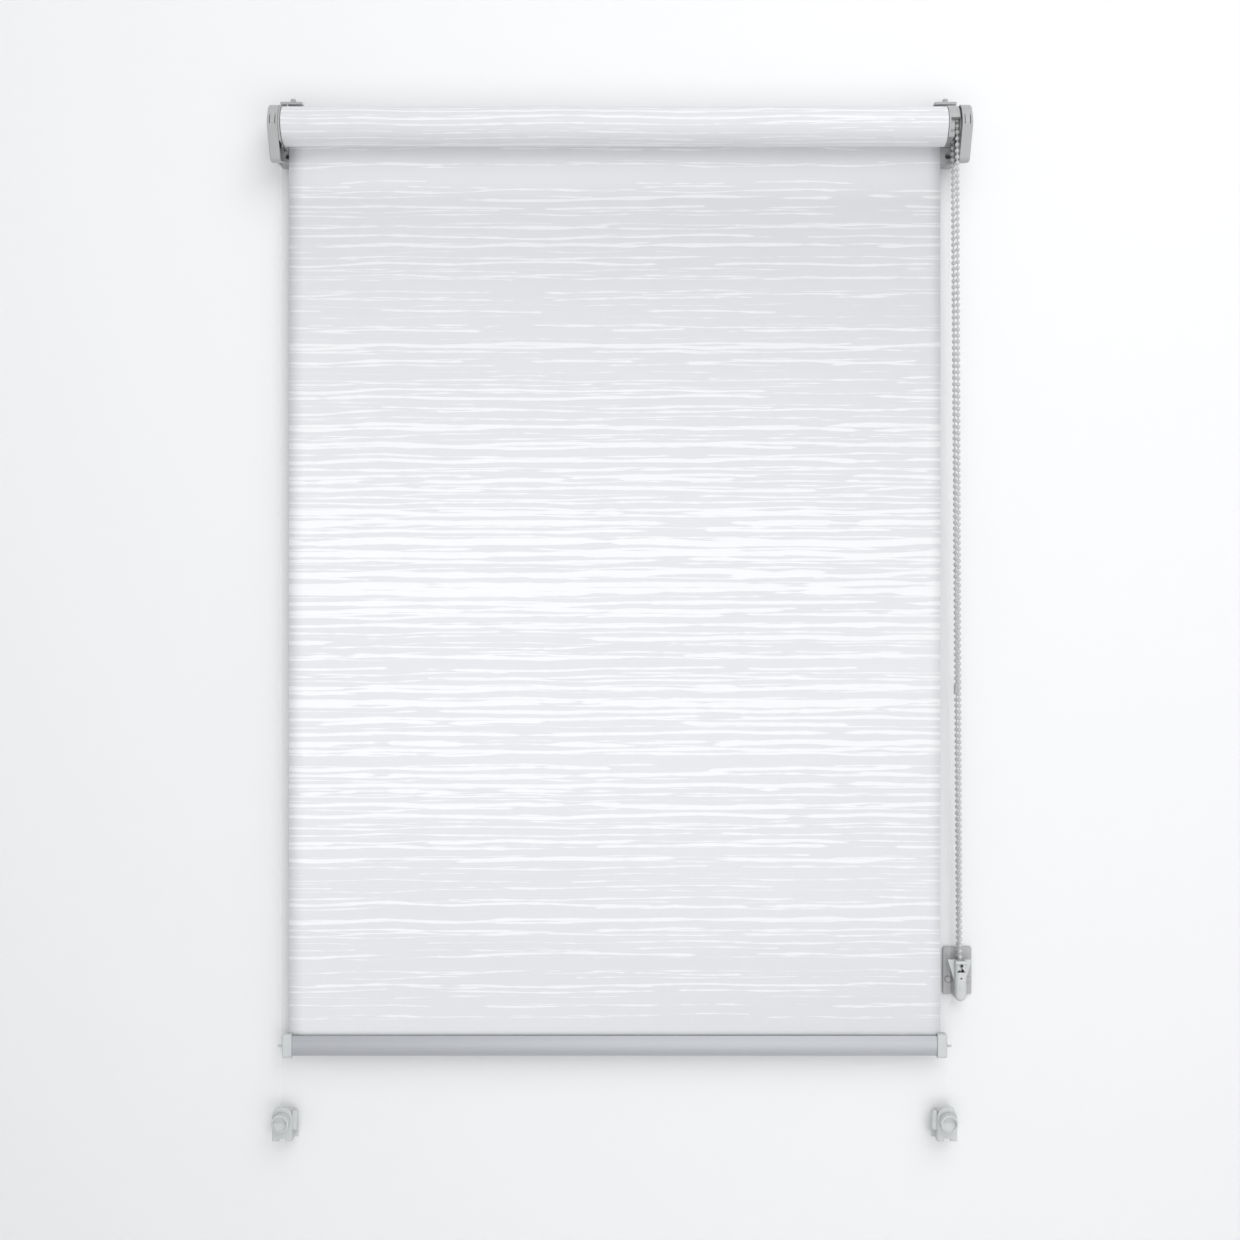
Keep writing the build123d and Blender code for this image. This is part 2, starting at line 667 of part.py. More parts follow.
arch_r = holder_wide / 2
spindle_r = 2.0
for side, name in ((-1, "left"), (1, "right")):
    middle = fabric_middle + side * holder_off
    inner = middle - side * arch_r
    line_x = fabric_middle + side * line_off
    with BuildPart() as holder_body:
        with BuildSketch(Plane.XZ):
            with BuildLine():
                Polyline(
                    (middle - arch_r, holder_high + arch_r * -1),
                    (middle - arch_r, holder_low),
                    (middle + arch_r, holder_low),
                    (middle + arch_r, holder_high - arch_r),
                )
                ThreePointArc(
                    (middle + arch_r, holder_high - arch_r),
                    (middle, holder_high),
                    (middle - arch_r, holder_high - arch_r),
                )
            make_face()
        extrude(amount=holder_deep)
        fillet(holder_body.faces().sort_by(Axis.Y)[0].edges(), 1.2)
        add(span(middle - 3.5, middle + 3.5, -3, -30, holder_low - 1, holder_low + 3), mode=Mode.SUBTRACT)
        # the top falls away towards the wall
        with BuildSketch(Plane.YZ.offset(middle - arch_r - 1)):
            with BuildLine():
                Polyline(
                    (-holder_deep + 1, holder_high),
                    (0, holder_high - 8.4),
                    (1, holder_high + 1),
                    (-holder_deep + 1, holder_high + 1),
                    close=True,
                )
            make_face()
        extrude(amount=holder_wide + 2, mode=Mode.SUBTRACT)
        with Locations(Plane((middle, -holder_deep, knob_z), z_dir=(0, -1, 0))):
            Hole(spindle_r + running, depth=14)
        with Locations((line_x, fabric_y, holder_high)):
            Hole(line_r + 0.3, depth=12.5)
    save(holder_body, f"{name}_holder_body")

    with BuildPart() as clamp_plate:
        with BuildSketch(Plane.YZ.offset(inner)):
            with BuildLine():
                Polyline((-10, -979.5), (-10, -978.4), (-21, -976.2), (-21, -995))
                RadiusArc((-21, -995), (-12, -1005.1), 10.1)
                Polyline((-12, -1005.1), (-10, -1005.1), (-10, -979.5))
            make_face()
        extrude(amount=-side * 4)
        fillet(clamp_plate.faces().sort_by(Axis.X)[-1 if side < 0 else 0].edges(), 0.8)
    save(clamp_plate, f"{name}_clamp_plate")

    # The knob: a rim round a face that folds in to a level crease, on the spindle that pinches the line.
    knob_back = -holder_deep - 0.4
    knob_front = knob_back - 9.6
    with BuildPart() as crease:
        with BuildSketch(Plane.YZ.offset(middle - 8)):
            with BuildLine():
                Polyline(
                    (knob_front - 1, knob_z + 8),
                    (knob_front + 0.7, knob_z + 8),
                    (knob_front + 4.2, knob_z),
                    (knob_front + 0.7, knob_z - 8),
                    (knob_front - 1, knob_z - 8),
                    close=True,
                )
            make_face()
        extrude(amount=16)
        with BuildSketch(Plane.XZ.offset(-knob_front - 5)):
            with Locations((middle, knob_z)):
                Circle(7.0)
        extrude(amount=8, mode=Mode.INTERSECT)

    with BuildPart() as tension_knob:
        with BuildSketch(Plane.XZ.offset(-knob_back)):
            with Locations((middle, knob_z)):
                Circle(knob_r)
        extrude(amount=9.6)
        fillet(tension_knob.edges().filter_by(GeomType.CIRCLE).sort_by(Axis.Y)[0], 1.0)
        add(crease.part, mode=Mode.SUBTRACT)
        with BuildSketch(Plane.XZ.offset(-knob_back)):
            with Locations((middle, knob_z)):
                Circle(spindle_r)
        extrude(amount=-12)
    save(tension_knob, f"{name}_tension_knob")
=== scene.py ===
import json
import math

import bmesh
import bpy
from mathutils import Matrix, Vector


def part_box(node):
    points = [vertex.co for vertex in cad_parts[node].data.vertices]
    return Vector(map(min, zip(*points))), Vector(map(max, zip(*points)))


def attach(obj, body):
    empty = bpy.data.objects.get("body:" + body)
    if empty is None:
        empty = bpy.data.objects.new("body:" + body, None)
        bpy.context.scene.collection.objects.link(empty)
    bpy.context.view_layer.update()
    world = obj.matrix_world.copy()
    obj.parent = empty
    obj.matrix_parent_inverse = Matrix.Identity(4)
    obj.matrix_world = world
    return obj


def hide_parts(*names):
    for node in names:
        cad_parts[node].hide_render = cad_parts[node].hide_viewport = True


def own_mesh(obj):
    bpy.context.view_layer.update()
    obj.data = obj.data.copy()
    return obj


# Roller blind in the CAD frame: metres, +X along the roller, +Y into the wall, +Z up.

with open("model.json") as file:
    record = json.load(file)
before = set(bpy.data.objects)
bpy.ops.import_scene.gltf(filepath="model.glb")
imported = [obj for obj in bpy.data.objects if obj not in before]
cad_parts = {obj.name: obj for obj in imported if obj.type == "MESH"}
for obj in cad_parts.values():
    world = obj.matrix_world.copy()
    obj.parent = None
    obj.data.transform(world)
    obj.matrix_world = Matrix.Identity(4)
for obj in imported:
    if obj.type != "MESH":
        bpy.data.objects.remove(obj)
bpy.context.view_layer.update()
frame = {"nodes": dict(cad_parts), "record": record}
nodes = frame["nodes"]

# ---- Sizes that follow from the frame ------------------------------------------------------------

roll_low, roll_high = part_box("fabric_roll")
roll_r = (roll_high.z - roll_low.z) / 2
roll_y = (roll_high.y + roll_low.y) / 2
tube_low, tube_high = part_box("roller_tube")
tube_r = (tube_high.z - tube_low.z) / 2
sheet_low, sheet_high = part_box("hanging_fabric")
sheet_y = (sheet_low.y + sheet_high.y) / 2

# ---- Camera: square on to the blind, level with its middle ------------------------------------------

CAMERA_TO_FABRIC = 1.455
CAMERA_X = 0.002
CAMERA_Z = -0.4864
SENSOR_WIDTH_MM = 36.0
FOCAL_LENGTH_MM = 42.24

camera_data = bpy.data.cameras.new("camera")
camera = bpy.data.objects.new("camera", camera_data)
bpy.context.scene.collection.objects.link(camera)
bpy.context.scene.camera = camera
camera.location = (CAMERA_X, sheet_y - CAMERA_TO_FABRIC, CAMERA_Z)
camera.rotation_euler = (math.radians(90), 0, 0)
camera_data.sensor_width = SENSOR_WIDTH_MM
camera_data.lens = FOCAL_LENGTH_MM


# ---- Mesh helpers ----------------------------------------------------------------------------------

CURVE_STEPS = 24        # points for each control point of a cord
SHARP_DEGREES = 35      # edges sharper than this stay sharp


def mesh_object(name, bm):
    """A new object from a finished bmesh."""
    bmesh.ops.recalc_face_normals(bm, faces=bm.faces)
    data = bpy.data.meshes.new(name)
    bm.to_mesh(data)
    bm.free()
    for face in data.polygons:
        face.use_smooth = True
    piece = bpy.data.objects.new(name, data)
    bpy.context.scene.collection.objects.link(piece)
    return piece


def smooth_by_angle(piece):
    """Flat faces stay flat and round ones look round."""
    piece.data.set_sharp_from_angle(angle=math.radians(SHARP_DEGREES))


def nurbs(name, route):
    """An open NURBS curve of order 3 with the route as its control points."""
    data = bpy.data.curves.new(name, "CURVE")
    data.dimensions = "3D"
    data.resolution_u = CURVE_STEPS
    spline = data.splines.new("NURBS")
    spline.points.add(len(route) - 1)
    for point, place in zip(spline.points, route):
        point.co = (*place, 1)
    spline.order_u = 3
    spline.use_endpoint_u = True
    curve = bpy.data.objects.new(name, data)
    bpy.context.scene.collection.objects.link(curve)
    return curve


def line_points(route):
    """A smooth curve's own points, from a route of control points."""
    curve = nurbs("route", route)
    bpy.context.view_layer.update()
    depsgraph = bpy.context.evaluated_depsgraph_get()
    data = bpy.data.meshes.new_from_object(curve.evaluated_get(depsgraph))
    points = [v.co.copy() for v in data.vertices]
    bpy.data.objects.remove(curve)
    bpy.data.meshes.remove(data)
    return points


def spaced(points, step):
    """Places one step apart along a line, each with the line's direction there."""
    places = []
    to_next = 0.0
    for a, b in zip(points, points[1:]):
        run = (b - a).length
        while to_next <= run:
            places.append((a.lerp(b, to_next / run), (b - a).normalized()))
            to_next += step
        to_next -= run
    return places


# ---- Cords: guide lines and bead chain --------------------------------------------------------------

LINE_DIAMETER = 0.001
BEAD_DIAMETER = 0.0045
BEAD_PITCH = 0.006
BEAD_RINGS = 9
BEAD_SIDES = 14
CORE_RADIUS = 0.0006
LINE_SIDES = 12
LINE_END_RUN = 0.006    # short runs at a guide line's ends keep it straight out of its fittings

# From the connector up the rear strand, over the chain wheel, down the front strand,
# round the tensioner's pulley and back up to the connector.
CHAIN_ROUTE = [
    (0.33905, -0.01485, -0.5510),
    (0.33274, -0.02756, -0.0270),
    (0.33230, -0.02845, 0.00955),
    (0.33230, -0.04755, 0.00955),
    (0.33274, -0.04621, -0.0270),
    (0.34247, -0.01670, -0.8340),
    (0.34280, -0.01570, -0.8612),
    (0.34280, -0.00730, -0.8612),
    (0.34247, -0.00796, -0.8340),
    (0.33917, -0.01461, -0.5610),
]


def bead(bm, place, along):
    """One ball, drawn in a little along the chain and cut flat where the core goes through."""
    half = BEAD_DIAMETER / 2
    turn = along.to_track_quat("Z", "Y").to_matrix().to_4x4()
    turn.translation = place
    rows = []
    for ring in range(BEAD_RINGS + 1):
        angle = math.pi * (ring + 0.35) / (BEAD_RINGS + 0.7)
        radius = half * math.sin(angle)
        height = half * 0.98 * math.cos(angle)
        rows.append([
            bm.verts.new(turn @ Vector((
                radius * math.cos(2 * math.pi * k / BEAD_SIDES),
                radius * math.sin(2 * math.pi * k / BEAD_SIDES),
                height,
            )))
            for k in range(BEAD_SIDES)
        ])
    for upper, lower in zip(rows, rows[1:]):
        for k in range(BEAD_SIDES):
            after = (k + 1) % BEAD_SIDES
            bm.faces.new((upper[k], upper[after], lower[after], lower[k]))
    bm.faces.new(rows[0])
    bm.faces.new(list(reversed(rows[-1])))


def tube(bm, points, radius, around=8):
    """A thin closed tube along a line."""
    rows = []
    side = Vector((1, 0, 0))
    for k, point in enumerate(points):
        along = (points[min(k + 1, len(points) - 1)] - points[max(k - 1, 0)]).normalized()
        across = (side - along * side.dot(along)).normalized()
        up = along.cross(across)
        rows.append([
            bm.verts.new(
                point
                + across * radius * math.cos(2 * math.pi * side_k / around)
                + up * radius * math.sin(2 * math.pi * side_k / around)
            )
            for side_k in range(around)
        ])
    for lower, upper in zip(rows, rows[1:]):
        for k in range(around):
            after = (k + 1) % around
            bm.faces.new((lower[k], lower[after], upper[after], upper[k]))
    bm.faces.new(list(reversed(rows[0])))
    bm.faces.new(rows[-1])


def bead_chain():
    """The endless chain: moulded balls on a continuous core."""
    points = line_points(CHAIN_ROUTE)
    bm = bmesh.new()
    tube(bm, points, CORE_RADIUS)
    for place, along in spaced(points, BEAD_PITCH):
        bead(bm, place, along)
    chain = mesh_object("ball_chain", bm)
    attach(chain, "frame")
    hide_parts("bead_chain")
    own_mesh(chain)
    return chain


def guide_line(side):
    """One clear nylon line, pulled straight between its anchor and its holder."""
    low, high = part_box(f"{side}_guide_line")
    x, y = (low.x + high.x) / 2, (low.y + high.y) / 2
    route = [
        (x, y, high.z),
        (x, y, high.z - LINE_END_RUN),
        (x, y, low.z + LINE_END_RUN),
        (x, y, low.z),
    ]
    points = line_points(route)
    bm = bmesh.new()
    tube(bm, points, LINE_DIAMETER / 2, LINE_SIDES)
    line = mesh_object(f"{side}_nylon_line", bm)
    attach(line, "frame")
    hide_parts(f"{side}_guide_line")
    return line


lines = [guide_line("left"), guide_line("right")]
chain = bead_chain()


# ---- Materials --------------------------------------------------------------------------------------

class Shader:
    """A material under construction: its nodes are added by short calls and wired by name."""

    def __init__(self, name):
        self.material = bpy.data.materials.new(name)
        self.material.use_nodes = True
        self.tree = self.material.node_tree
        self.bsdf = self.tree.nodes["Principled BSDF"]

    def node(self, kind, **settings):
        made = self.tree.nodes.new(kind)
        for key, value in settings.items():
            setattr(made, key, value)
        return made

    def join(self, source, target):
        self.tree.links.new(source, target)

    def value(self, operation, first, second=0.0, third=0.0):
        """One maths step; each input is a number or another node's output."""
        made = self.node("ShaderNodeMath", operation=operation)
        for socket, given in zip(made.inputs, (first, second, third)):
            if isinstance(given, (int, float)):
                socket.default_value = given
            else:
                self.join(given, socket)
        return made.outputs[0]

    def places(self, scale=(1, 1, 1), offset=(0, 0, 0)):
        """Object coordinates in metres, scaled and shifted."""
        source = self.node("ShaderNodeTexCoord")
        mapping = self.node("ShaderNodeMapping")
        mapping.inputs["Scale"].default_value = scale
        mapping.inputs["Location"].default_value = offset
        self.join(source.outputs["Object"], mapping.inputs["Vector"])
        return mapping.outputs[0]

    def noise(self, vector, scale, detail=2.0, roughness=0.5):
        made = self.node("ShaderNodeTexNoise")
        made.inputs["Scale"].default_value = scale
        made.inputs["Detail"].default_value = detail
        made.inputs["Roughness"].default_value = roughness
        self.join(vector, made.inputs["Vector"])
        return made.outputs["Fac"]

    def row_noise(self, across, scale, row, shift, detail=2.0):
        """Noise that varies along a row and differs from row to row."""
        spot = self.node("ShaderNodeCombineXYZ")
        self.join(self.value("MULTIPLY", across, scale), spot.inputs["X"])
        self.join(self.value("MULTIPLY_ADD", row, 7.37, shift), spot.inputs["Y"])
        made = self.node("ShaderNodeTexNoise", noise_dimensions="2D")
        made.inputs["Scale"].default_value = 1.0
        made.inputs["Detail"].default_value = detail
        self.join(spot.outputs[0], made.inputs["Vector"])
        return made.outputs["Fac"]

    def chance(self, row, shift):
        """One number from 0 to 1 for a whole row."""
        made = self.node("ShaderNodeTexWhiteNoise", noise_dimensions="1D")
        self.join(self.value("ADD", row, shift), made.inputs["W"])
        return made.outputs["Value"]

    def ramp(self, factor, *stops):
        """Colour or grey by factor; stops are (position, colour)."""
        made = self.node("ShaderNodeValToRGB")
        elements = made.color_ramp.elements
        while len(elements) < len(stops):
            elements.new(0.5)
        for element, (position, colour) in zip(elements, stops):
            element.position = position
            element.color = (*colour, 1) if isinstance(colour, tuple) else (colour, colour, colour, 1)
        self.join(factor, made.inputs["Fac"])
        return made.outputs["Color"]

    def mix(self, factor, first, second):
        made = self.node("ShaderNodeMix", data_type="RGBA")
        self.join(factor, made.inputs[0])
        for socket, given in ((made.inputs[6], first), (made.inputs[7], second)):
            if isinstance(given, tuple):
                socket.default_value = (*given, 1)
            else:
                self.join(given, socket)
        return made.outputs[2]

    def bump(self, height, distance, strength):
        made = self.node("ShaderNodeBump")
        made.inputs["Distance"].default_value = distance
        made.inputs["Strength"].default_value = strength
        self.join(height, made.inputs["Height"])
        return made.outputs["Normal"]

    def finish(self, colour, roughness, normal=None, **sockets):
        """Wire up the surface; each named socket gets one uniform value."""
        for socket, given in (("Base Color", colour), ("Roughness", roughness), ("Normal", normal)):
            if isinstance(given, (int, float)):
                self.bsdf.inputs[socket].default_value = given
            elif given is not None:
                self.join(given, self.bsdf.inputs[socket])
        for name, given in sockets.items():
            self.bsdf.inputs[name.replace("_", " ")].default_value = given
        return self.material


def moulded_plastic(name, colour, roughness, grain=0.00003):
    """Injection moulded plastic: faint flow mottling and a fine spark-eroded grain."""
    shader = Shader(name)
    flow = shader.noise(shader.places((1, 1, 0.35)), 90, 3.0)
    dark = tuple(c * 0.955 for c in colour)
    tint = shader.ramp(flow, (0.3, dark), (0.7, colour))
    speck = shader.noise(shader.places(), 2600, 2.0, 0.6)
    gloss = shader.value("MULTIPLY_ADD", speck, 0.14, roughness - 0.07)
    normal = shader.bump(speck, grain, 0.6)
    return shader.finish(tint, gloss, normal, Specular_IOR_Level=0.42)


def satin_aluminium():
    """Anodised extrusion: lines drawn along X, with a soft sheen."""
    shader = Shader("satin_aluminium")
    drawn = shader.noise(shader.places((2, 900, 900)), 1.0, 3.0, 0.7)
    broad = shader.noise(shader.places((1.5, 120, 120)), 1.0, 2.0)
    both = shader.value("MULTIPLY_ADD", broad, 0.5, shader.value("MULTIPLY", drawn, 0.5))
    tint = shader.ramp(both, (0.3, (0.41, 0.42, 0.44)), (0.7, (0.48, 0.49, 0.51)))
    gloss = shader.value("MULTIPLY_ADD", both, 0.2, 0.36)
    normal = shader.bump(drawn, 0.00002, 0.5)
    return shader.finish(tint, gloss, normal, Metallic=0.6)


def spring_steel():
    """Bright drawn wire."""
    shader = Shader("spring_steel")
    drawn = shader.noise(shader.places((300, 300, 300)), 6.0, 3.0, 0.7)
    tint = shader.ramp(drawn, (0.3, (0.36, 0.36, 0.37)), (0.7, (0.52, 0.52, 0.53)))
    gloss = shader.value("MULTIPLY_ADD", drawn, 0.2, 0.25)
    return shader.finish(tint, gloss, shader.bump(drawn, 0.00002, 0.4), Metallic=1.0)


def clear_nylon():
    """Clear monofilament, almost unseen against the wall."""
    shader = Shader("clear_nylon")
    drawn = shader.noise(shader.places((1, 1, 0.05)), 2000, 2.0)
    tint = shader.ramp(drawn, (0.3, (0.93, 0.94, 0.95)), (0.7, (0.98, 0.985, 0.99)))
    gloss = shader.value("MULTIPLY_ADD", drawn, 0.1, 0.08)
    normal = shader.bump(drawn, 0.00001, 0.3)
    return shader.finish(tint, gloss, normal, Alpha=0.07, IOR=1.5)


# The white brush lines.  Lengths are in metres, and the others are shares of a row.
LINE_SWAY = 0.008       # slow rise and fall that neighbouring rows share
LINE_OFFSET = 0.5       # how far lines stand off the middles of their rows
LINE_WOBBLE = 0.56      # how far a line wanders along its length
LINE_TAPER = 0.035      # half thickness for each unit of swell: it draws out the pointed ends
LINE_LUMPS = 0.0024     # short thick and thin places
LINE_EDGE = 0.0007      # width over which an edge fades
GAP_SPREAD = 0.14       # how much rows differ in their share of gaps
ROW_LEFT_OUT = 0.02     # taken off the half thickness of a row that has no line

# Rows of lines: spacing of the rows, half thickness of a line, seed.
SHEET_ROWS = ((0.0105, 0.0010, 3), (0.0165, 0.0013, 41), (0.0068, 0.0005, 77))
ROLL_ROWS = ((0.0052, 0.0005, 13), (0.0085, 0.0008, 57))

# Down the sheet, from 0 at its top to 1 at the bar: how the lines crowd, and the painted light and shade
# of the cloth: lighter at the very top, darker just below the roll and towards the bar.
SHEET_CROWD = (
    (0.0, 0.20), (0.055, 0.30), (0.075, 0.72), (0.10, 0.44), (0.24, 0.52), (0.36, 0.70), (0.42, 1.0),
    (0.52, 1.0), (0.57, 0.66), (0.64, 0.84), (0.76, 0.76), (0.82, 0.54), (0.95, 0.44), (1.0, 0.05),
)
SHEET_PAINTED_LIGHT_AND_SHADE = (
    (0.0, 1.08), (0.03, 1.03), (0.075, 0.83), (0.18, 0.885), (0.30, 0.945), (0.45, 0.99),
    (0.75, 1.0), (0.86, 0.975), (1.0, 0.94),
)
ROLL_CROWD = ((0.3, 0.45), (0.7, 0.8))
ROLL_TONE = 0.94


def brushed_rows(shader, across, down, crowd, gaps, row_of_lines):
    """White brush lines, one to a row: long and nearly level, with swells, tapered ends and breaks."""
    spacing, thick, seed = row_of_lines
    value = shader.value
    sway = shader.row_noise(across, 1.7, across, seed, detail=1.0)
    place = value("DIVIDE", value("MULTIPLY_ADD", sway, LINE_SWAY, down), spacing)
    row = value("FLOOR", place)
    local = value("SUBTRACT", value("SUBTRACT", place, row), 0.5)
    offset = value("MULTIPLY_ADD", shader.chance(row, seed), LINE_OFFSET, -LINE_OFFSET / 2)
    wander = shader.row_noise(across, 4.0, row, seed + 3, detail=3.0)
    wobble = value("MULTIPLY_ADD", wander, LINE_WOBBLE, -LINE_WOBBLE / 2)
    centre = value("ADD", offset, wobble)
    distance = value("MULTIPLY", value("ABSOLUTE", value("SUBTRACT", local, centre)), spacing)

    swell = shader.row_noise(across, 7.0, row, seed + 11, detail=3.0)
    spread = value("MULTIPLY_ADD", shader.chance(row, seed + 5), GAP_SPREAD, -GAP_SPREAD / 2)
    body = value("MULTIPLY", value("SUBTRACT", swell, value("ADD", gaps, spread)), LINE_TAPER)
    uneven = shader.row_noise(across, 30.0, row, seed + 23)
    lumps = value("MULTIPLY_ADD", uneven, LINE_LUMPS, -LINE_LUMPS / 2)
    full = value("MULTIPLY", value("MULTIPLY_ADD", shader.chance(row, seed + 9), 0.8, 0.5), thick)
    fuller = value("MULTIPLY_ADD", value("POWER", crowd, 2.0), 1.7, 0.75)
    half = value("MINIMUM", body, value("MULTIPLY_ADD", full, fuller, lumps))
    kept = value("MULTIPLY_ADD", crowd, 0.5, 0.5)
    missing = value("GREATER_THAN", shader.chance(row, seed + 7), kept)
    half = value("SUBTRACT", half, value("MULTIPLY", missing, ROW_LEFT_OUT))
    edge = shader.node("ShaderNodeClamp")
    shader.join(value("DIVIDE", value("SUBTRACT", half, distance), LINE_EDGE), edge.inputs["Value"])
    return edge.outputs[0]


def plain_weave(shader, everywhere):
    """Weft and warp threads, as one height."""
    weft = shader.node("ShaderNodeTexWave", bands_direction="Z")
    weft.inputs["Scale"].default_value = 160
    weft.inputs["Distortion"].default_value = 0.6
    weft.inputs["Detail"].default_value = 1.0
    shader.join(everywhere, weft.inputs["Vector"])
    warp = shader.node("ShaderNodeTexWave", bands_direction="X")
    warp.inputs["Scale"].default_value = 210
    warp.inputs["Distortion"].default_value = 0.4
    shader.join(everywhere, warp.inputs["Vector"])
    return shader.value("MULTIPLY_ADD", warp.outputs["Fac"], 0.45, weft.outputs["Fac"])


def screen_fabric(name, wound):
    """Coated polyester: a cool grey ground brushed with white lines, over a fine plain weave.

    On the hanging sheet the lines crowd together in the middle, and painted shade darkens the cloth just
    below the roll, towards its foot and towards its right edge, with painted light at its very top.  On
    the roll the lines follow the turns.
    """
    shader = Shader(name)
    value = shader.value
    everywhere = shader.places()
    axes = shader.node("ShaderNodeSeparateXYZ")
    shader.join(everywhere, axes.inputs[0])
    across = axes.outputs["X"]
    if wound:
        behind = value("SUBTRACT", axes.outputs["Y"], roll_y)
        down = value("MULTIPLY", value("ARCTAN2", axes.outputs["Z"], behind), roll_r)
        crowd = shader.ramp(shader.noise(shader.places((0, 60, 60)), 1.0), *ROLL_CROWD)
        tone_and_painted_shade = ROLL_TONE
    else:
        down = axes.outputs["Z"]
        share_down = value("DIVIDE", down, sheet_low.z)
        crowd = shader.ramp(share_down, *SHEET_CROWD)
        # painted shade: the sheet darkens towards its right edge
        painted_shade_right = value("MULTIPLY_ADD", across, -0.14, 1.005)
        # painted light at the sheet's very top, painted shade below the roll and towards the foot, times
        # the painted shade to the right
        tone_and_painted_shade = value("MULTIPLY", shader.ramp(share_down, *SHEET_PAINTED_LIGHT_AND_SHADE), painted_shade_right)
    sparse = value("MULTIPLY_ADD", across, 0.08, 0.50)
    gaps = value("SUBTRACT", sparse, value("MULTIPLY", crowd, 0.15))
    dashes = None
    for row_of_lines in ROLL_ROWS if wound else SHEET_ROWS:
        made = brushed_rows(shader, across, down, crowd, gaps, row_of_lines)
        dashes = made if dashes is None else value("MAXIMUM", dashes, made)
    weave = plain_weave(shader, everywhere)

    cloudy = shader.noise(shader.places((2, 1, 9)), 1.0, 3.0)
    ground = shader.ramp(cloudy, (0.3, (0.757, 0.766, 0.782)), (0.7, (0.785, 0.793, 0.806)))
    streaks = shader.noise(shader.places((14, 1, 160)), 1.0, 3.0)
    worn = value("MULTIPLY_ADD", streaks, 0.3, 0.72)
    printed = shader.mix(value("MULTIPLY", dashes, worn), ground, (0.925, 0.93, 0.935))
    # weave times the painted light and shade of the sheet; on the roll, times a plain tone
    weave_tone_and_painted_shade = value("MULTIPLY", value("MULTIPLY_ADD", weave, 0.025, 0.975), tone_and_painted_shade)
    colour = shader.node("ShaderNodeMix", data_type="RGBA", blend_type="MULTIPLY")
    colour.inputs[0].default_value = 1.0
    shader.join(printed, colour.inputs[6])
    shader.join(weave_tone_and_painted_shade, colour.inputs[7])
    relief = value("MULTIPLY_ADD", dashes, 0.8, value("MULTIPLY", weave, 0.6))
    normal = shader.bump(relief, 0.0001, 0.5)
    gloss = value("MULTIPLY_ADD", dashes, -0.14, 0.84)
    return shader.finish(
        colour.outputs[2], gloss, normal, Sheen_Weight=0.1, Specular_IOR_Level=0.25,
    )


LIGHT_GREY = (0.45, 0.452, 0.45)
CAP_GREY = (0.60, 0.62, 0.615)
CHAIN_GREY = (0.56, 0.565, 0.565)
NATURAL = (0.56, 0.558, 0.54)
MILKY = (0.70, 0.70, 0.67)
materials = {
    "housing_plastic": moulded_plastic("housing_plastic", LIGHT_GREY, 0.42),
    "cap_plastic": moulded_plastic("cap_plastic", CAP_GREY, 0.46),
    "chain_plastic": moulded_plastic("chain_plastic", CHAIN_GREY, 0.34, 0.00001),
    "inner_plastic": moulded_plastic("inner_plastic", NATURAL, 0.40),
    "clear_strip": moulded_plastic("clear_strip", MILKY, 0.25, 0.00001),
    "satin_aluminium": satin_aluminium(),
    "spring_steel": spring_steel(),
    "clear_nylon": clear_nylon(),
    "roller_fabric": screen_fabric("roller_fabric", False),
    "wound_fabric": screen_fabric("wound_roller_fabric", True),
}


def dress(piece, slot_name):
    """Give a piece the finish of one of the record's material slots."""
    piece.data.materials.clear()
    piece.data.materials.append(materials[slot_name])


for line in lines:
    dress(line, "clear_nylon")
dress(chain, "chain_plastic")

slots = {part["node"]: part["material_slot"] for part in frame["record"]["subparts"]}
ROUNDING = {"housing_plastic": 0.0004, "cap_plastic": 0.0005, "satin_aluminium": 0.0003}
ROUNDED_DEGREES = 40
for name, node in nodes.items():
    dress(node, slots[name])
    softened = ROUNDING.get(slots[name])
    if softened:
        bevel = node.modifiers.new("softened_edges", "BEVEL")
        bevel.width = softened
        bevel.segments = 2
        bevel.limit_method = "ANGLE"
        bevel.angle_limit = math.radians(ROUNDED_DEGREES)
        bevel.harden_normals = True


# ---- Fabric: the hanging sheet and the roll -----------------------------------------------------------

SHEET_COLUMNS = 44
SHEET_GRID_ROWS = 120
RIPPLE = 0.0005
EDGE_CURL = -0.0007     # towards the room
CLOTH = 0.00034         # thickness of one turn on the roll
TURN_STEP = 0.00046     # how much one turn adds to the roll's radius
ROLL_STEPS = 56         # flats in a turn
TUBE_GAP = 0.0001       # between the tube and the first turn
ROLL_INSET = 0.0002     # keeps the outer turn inside the CAD roll


